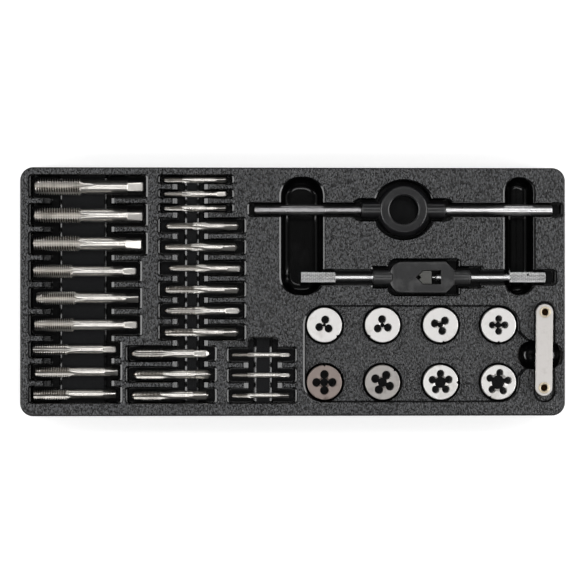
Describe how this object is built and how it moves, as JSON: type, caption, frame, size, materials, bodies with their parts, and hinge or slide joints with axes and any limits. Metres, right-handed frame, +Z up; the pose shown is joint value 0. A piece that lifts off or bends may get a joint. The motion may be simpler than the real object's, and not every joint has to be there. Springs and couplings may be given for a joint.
{
  "type": "tap and die set tray",
  "caption": "Moulded drawer tray that holds hand taps, round dies, a die stock, a tap wrench and a screw pitch gauge.",
  "frame": {"origin": "middle of the rectangle that the tray's underside covers, at the bottom of its rim", "axes": "+X along the tray towards the pitch gauge, +Y towards the edge by the die stock, +Z up out of the pockets"},
  "size_m": [0.392, 0.1786, 0.0404],
  "materials": {
    "black_plastic": "pebble grained, satin",
    "ground_steel": "ground, slightly warm",
    "die_steel": "ground faces, satin",
    "black_oxide": "black, satin",
    "chrome": "bright",
    "grey_steel": "dull grey",
    "brass": "worn",
    "plate_steel": "bright plated sheet"
  },
  "bodies": {
    "tray": {"tray": "black_plastic"},
    "tap_m12_bottoming": {"tap_m12_bottoming": "ground_steel"},
    "tap_m12_second": {"tap_m12_second": "ground_steel"},
    "tap_m12_taper": {"tap_m12_taper": "ground_steel"},
    "tap_m10_bottoming": {"tap_m10_bottoming": "ground_steel"},
    "tap_m10_second": {"tap_m10_second": "ground_steel"},
    "tap_m10_taper": {"tap_m10_taper": "ground_steel"},
    "tap_m8_bottoming": {"tap_m8_bottoming": "ground_steel"},
    "tap_m8_second": {"tap_m8_second": "ground_steel"},
    "tap_m8_taper": {"tap_m8_taper": "ground_steel"},
    "tap_m4_bottoming": {"tap_m4_bottoming": "ground_steel"},
    "tap_m4_second": {"tap_m4_second": "ground_steel"},
    "tap_m4_taper": {"tap_m4_taper": "ground_steel"},
    "tap_m5_bottoming": {"tap_m5_bottoming": "ground_steel"},
    "tap_m5_second": {"tap_m5_second": "ground_steel"},
    "tap_m5_taper": {"tap_m5_taper": "ground_steel"},
    "tap_m6_bottoming": {"tap_m6_bottoming": "ground_steel"},
    "tap_m6_second": {"tap_m6_second": "ground_steel"},
    "tap_m6_taper": {"tap_m6_taper": "ground_steel"},
    "tap_m7_bottoming": {"tap_m7_bottoming": "ground_steel"},
    "tap_m7_second": {"tap_m7_second": "ground_steel"},
    "tap_m7_taper": {"tap_m7_taper": "ground_steel"},
    "tap_m3_bottoming": {"tap_m3_bottoming": "ground_steel"},
    "tap_m3_second": {"tap_m3_second": "ground_steel"},
    "tap_m3_taper": {"tap_m3_taper": "ground_steel"},
    "die_m7": {"die_m7": "die_steel"},
    "die_m8": {"die_m8": "die_steel"},
    "die_m10": {"die_m10": "die_steel"},
    "die_m12": {"die_m12": "die_steel"},
    "die_m3": {"die_m3": "die_steel"},
    "die_m4": {"die_m4": "die_steel"},
    "die_m5": {"die_m5": "die_steel"},
    "die_m6": {"die_m6": "die_steel"},
    "die_stock": {"stock_ring": "black_oxide", "stock_handle_left": "chrome", "stock_handle_right": "chrome"},
    "stock_grub_screw_1": {"stock_grub_screw_1": "grey_steel"},
    "stock_grub_screw_2": {"stock_grub_screw_2": "grey_steel"},
    "stock_grub_screw_3": {"stock_grub_screw_3": "grey_steel"},
    "tap_wrench": {"wrench_frame": "black_oxide", "wrench_fixed_handle": "chrome"},
    "wrench_jaw": {"wrench_moving_jaw": "grey_steel"},
    "wrench_screw_handle": {"wrench_adjusting_handle": "chrome"},
    "pitch_gauge": {"gauge_plate_bottom": "plate_steel", "gauge_plate_top": "plate_steel", "gauge_rivet_back": "brass", "gauge_rivet_front": "brass"},
    "gauge_leaf_back_1": {"gauge_leaf_back_1": "plate_steel"},
    "gauge_leaf_back_2": {"gauge_leaf_back_2": "plate_steel"},
    "gauge_leaf_back_3": {"gauge_leaf_back_3": "plate_steel"},
    "gauge_leaf_back_4": {"gauge_leaf_back_4": "plate_steel"},
    "gauge_leaf_back_5": {"gauge_leaf_back_5": "plate_steel"},
    "gauge_leaf_front_1": {"gauge_leaf_front_1": "plate_steel"},
    "gauge_leaf_front_2": {"gauge_leaf_front_2": "plate_steel"},
    "gauge_leaf_front_3": {"gauge_leaf_front_3": "plate_steel"},
    "gauge_leaf_front_4": {"gauge_leaf_front_4": "plate_steel"},
    "gauge_leaf_front_5": {"gauge_leaf_front_5": "plate_steel"}
  },
  "joints": [
    {"name": "wrench_jaw_slide", "type": "slide", "parent": "tap_wrench", "child": "wrench_jaw", "axis": [1, 0, 0], "range_m": [0, 0.0055]},
    {"name": "wrench_handle_turn", "type": "hinge", "parent": "wrench_jaw", "child": "wrench_screw_handle", "pos_m": [0.0936, 0.01043, 0.029], "axis": [1, 0, 0], "range_deg": [0, 1584]},
    {"name": "gauge_leaf_back_1_swing", "type": "hinge", "parent": "pitch_gauge", "child": "gauge_leaf_back_1", "pos_m": [0.18086, -0.01468, 0.03535], "axis": [0, 0, -1], "range_deg": [0, 180]},
    {"name": "gauge_leaf_back_3_swing", "type": "hinge", "parent": "pitch_gauge", "child": "gauge_leaf_back_3", "pos_m": [0.18086, -0.01468, 0.03665], "axis": [0, 0, -1], "range_deg": [0, 180]},
    {"name": "gauge_leaf_front_1_swing", "type": "hinge", "parent": "pitch_gauge", "child": "gauge_leaf_front_1", "pos_m": [0.18014, -0.06907, 0.03535], "axis": [0, 0, -1], "range_deg": [0, 180]},
    {"name": "gauge_leaf_front_3_swing", "type": "hinge", "parent": "pitch_gauge", "child": "gauge_leaf_front_3", "pos_m": [0.18014, -0.06907, 0.03665], "axis": [0, 0, -1], "range_deg": [0, 180]},
    {"name": "gauge_leaf_back_2_swing", "type": "hinge", "parent": "pitch_gauge", "child": "gauge_leaf_back_2", "pos_m": [0.18086, -0.01468, 0.036], "axis": [0, 0, -1], "range_deg": [0, 180]},
    {"name": "gauge_leaf_back_4_swing", "type": "hinge", "parent": "pitch_gauge", "child": "gauge_leaf_back_4", "pos_m": [0.18086, -0.01468, 0.0373], "axis": [0, 0, -1], "range_deg": [0, 180]},
    {"name": "gauge_leaf_back_5_swing", "type": "hinge", "parent": "pitch_gauge", "child": "gauge_leaf_back_5", "pos_m": [0.18086, -0.01468, 0.03795], "axis": [0, 0, -1], "range_deg": [0, 180]},
    {"name": "gauge_leaf_front_2_swing", "type": "hinge", "parent": "pitch_gauge", "child": "gauge_leaf_front_2", "pos_m": [0.18014, -0.06907, 0.036], "axis": [0, 0, -1], "range_deg": [0, 180]},
    {"name": "gauge_leaf_front_4_swing", "type": "hinge", "parent": "pitch_gauge", "child": "gauge_leaf_front_4", "pos_m": [0.18014, -0.06907, 0.0373], "axis": [0, 0, -1], "range_deg": [0, 180]},
    {"name": "gauge_leaf_front_5_swing", "type": "hinge", "parent": "pitch_gauge", "child": "gauge_leaf_front_5", "pos_m": [0.18014, -0.06907, 0.03795], "axis": [0, 0, -1], "range_deg": [0, 180]},
    {"name": "stock_grub_screw_1_feed", "type": "slide", "parent": "die_stock", "child": "stock_grub_screw_1", "axis": [0, -1, 0], "range_m": [0, 0.0016]},
    {"name": "stock_grub_screw_2_feed", "type": "slide", "parent": "die_stock", "child": "stock_grub_screw_2", "axis": [-0.7634, -0.6459, 0], "range_m": [0, 0.0016]},
    {"name": "stock_grub_screw_3_feed", "type": "slide", "parent": "die_stock", "child": "stock_grub_screw_3", "axis": [0.7634, -0.6459, 0], "range_m": [0, 0.0016]},
    {"name": "die_stock_lift", "type": "slide", "parent": "tray", "child": "die_stock", "axis": [0, 0, 1], "range_m": [0, 0.06]},
    {"name": "tap_wrench_lift", "type": "slide", "parent": "tray", "child": "tap_wrench", "axis": [0, 0, 1], "range_m": [0, 0.06]},
    {"name": "pitch_gauge_lift", "type": "slide", "parent": "tray", "child": "pitch_gauge", "axis": [0, 0, 1], "range_m": [0, 0.06]},
    {"name": "die_m7_lift", "type": "slide", "parent": "tray", "child": "die_m7", "axis": [0, 0, 1], "range_m": [0, 0.06]},
    {"name": "die_m8_lift", "type": "slide", "parent": "tray", "child": "die_m8", "axis": [0, 0, 1], "range_m": [0, 0.06]},
    {"name": "die_m10_lift", "type": "slide", "parent": "tray", "child": "die_m10", "axis": [0, 0, 1], "range_m": [0, 0.06]},
    {"name": "die_m12_lift", "type": "slide", "parent": "tray", "child": "die_m12", "axis": [0, 0, 1], "range_m": [0, 0.06]},
    {"name": "die_m3_lift", "type": "slide", "parent": "tray", "child": "die_m3", "axis": [0, 0, 1], "range_m": [0, 0.06]},
    {"name": "die_m4_lift", "type": "slide", "parent": "tray", "child": "die_m4", "axis": [0, 0, 1], "range_m": [0, 0.06]},
    {"name": "die_m5_lift", "type": "slide", "parent": "tray", "child": "die_m5", "axis": [0, 0, 1], "range_m": [0, 0.06]},
    {"name": "die_m6_lift", "type": "slide", "parent": "tray", "child": "die_m6", "axis": [0, 0, 1], "range_m": [0, 0.06]},
    {"name": "tap_m12_bottoming_lift", "type": "slide", "parent": "tray", "child": "tap_m12_bottoming", "axis": [0, 0, 1], "range_m": [0, 0.06]},
    {"name": "tap_m12_second_lift", "type": "slide", "parent": "tray", "child": "tap_m12_second", "axis": [0, 0, 1], "range_m": [0, 0.06]},
    {"name": "tap_m12_taper_lift", "type": "slide", "parent": "tray", "child": "tap_m12_taper", "axis": [0, 0, 1], "range_m": [0, 0.06]},
    {"name": "tap_m10_bottoming_lift", "type": "slide", "parent": "tray", "child": "tap_m10_bottoming", "axis": [0, 0, 1], "range_m": [0, 0.06]},
    {"name": "tap_m10_second_lift", "type": "slide", "parent": "tray", "child": "tap_m10_second", "axis": [0, 0, 1], "range_m": [0, 0.06]},
    {"name": "tap_m10_taper_lift", "type": "slide", "parent": "tray", "child": "tap_m10_taper", "axis": [0, 0, 1], "range_m": [0, 0.06]},
    {"name": "tap_m8_bottoming_lift", "type": "slide", "parent": "tray", "child": "tap_m8_bottoming", "axis": [0, 0, 1], "range_m": [0, 0.06]},
    {"name": "tap_m8_second_lift", "type": "slide", "parent": "tray", "child": "tap_m8_second", "axis": [0, 0, 1], "range_m": [0, 0.06]},
    {"name": "tap_m8_taper_lift", "type": "slide", "parent": "tray", "child": "tap_m8_taper", "axis": [0, 0, 1], "range_m": [0, 0.06]},
    {"name": "tap_m4_bottoming_lift", "type": "slide", "parent": "tray", "child": "tap_m4_bottoming", "axis": [0, 0, 1], "range_m": [0, 0.06]},
    {"name": "tap_m4_second_lift", "type": "slide", "parent": "tray", "child": "tap_m4_second", "axis": [0, 0, 1], "range_m": [0, 0.06]},
    {"name": "tap_m4_taper_lift", "type": "slide", "parent": "tray", "child": "tap_m4_taper", "axis": [0, 0, 1], "range_m": [0, 0.06]},
    {"name": "tap_m5_bottoming_lift", "type": "slide", "parent": "tray", "child": "tap_m5_bottoming", "axis": [0, 0, 1], "range_m": [0, 0.06]},
    {"name": "tap_m5_second_lift", "type": "slide", "parent": "tray", "child": "tap_m5_second", "axis": [0, 0, 1], "range_m": [0, 0.06]},
    {"name": "tap_m5_taper_lift", "type": "slide", "parent": "tray", "child": "tap_m5_taper", "axis": [0, 0, 1], "range_m": [0, 0.06]},
    {"name": "tap_m6_bottoming_lift", "type": "slide", "parent": "tray", "child": "tap_m6_bottoming", "axis": [0, 0, 1], "range_m": [0, 0.06]},
    {"name": "tap_m6_second_lift", "type": "slide", "parent": "tray", "child": "tap_m6_second", "axis": [0, 0, 1], "range_m": [0, 0.06]},
    {"name": "tap_m6_taper_lift", "type": "slide", "parent": "tray", "child": "tap_m6_taper", "axis": [0, 0, 1], "range_m": [0, 0.06]},
    {"name": "tap_m7_bottoming_lift", "type": "slide", "parent": "tray", "child": "tap_m7_bottoming", "axis": [0, 0, 1], "range_m": [0, 0.06]},
    {"name": "tap_m7_second_lift", "type": "slide", "parent": "tray", "child": "tap_m7_second", "axis": [0, 0, 1], "range_m": [0, 0.06]},
    {"name": "tap_m7_taper_lift", "type": "slide", "parent": "tray", "child": "tap_m7_taper", "axis": [0, 0, 1], "range_m": [0, 0.06]},
    {"name": "tap_m3_bottoming_lift", "type": "slide", "parent": "tray", "child": "tap_m3_bottoming", "axis": [0, 0, 1], "range_m": [0, 0.06]},
    {"name": "tap_m3_second_lift", "type": "slide", "parent": "tray", "child": "tap_m3_second", "axis": [0, 0, 1], "range_m": [0, 0.06]},
    {"name": "tap_m3_taper_lift", "type": "slide", "parent": "tray", "child": "tap_m3_taper", "axis": [0, 0, 1], "range_m": [0, 0.06]}
  ],
  "couplings": [
    {"joint": "wrench_handle_turn", "follows": "wrench_jaw_slide", "rad_per_m": 5026.5}
  ]
}
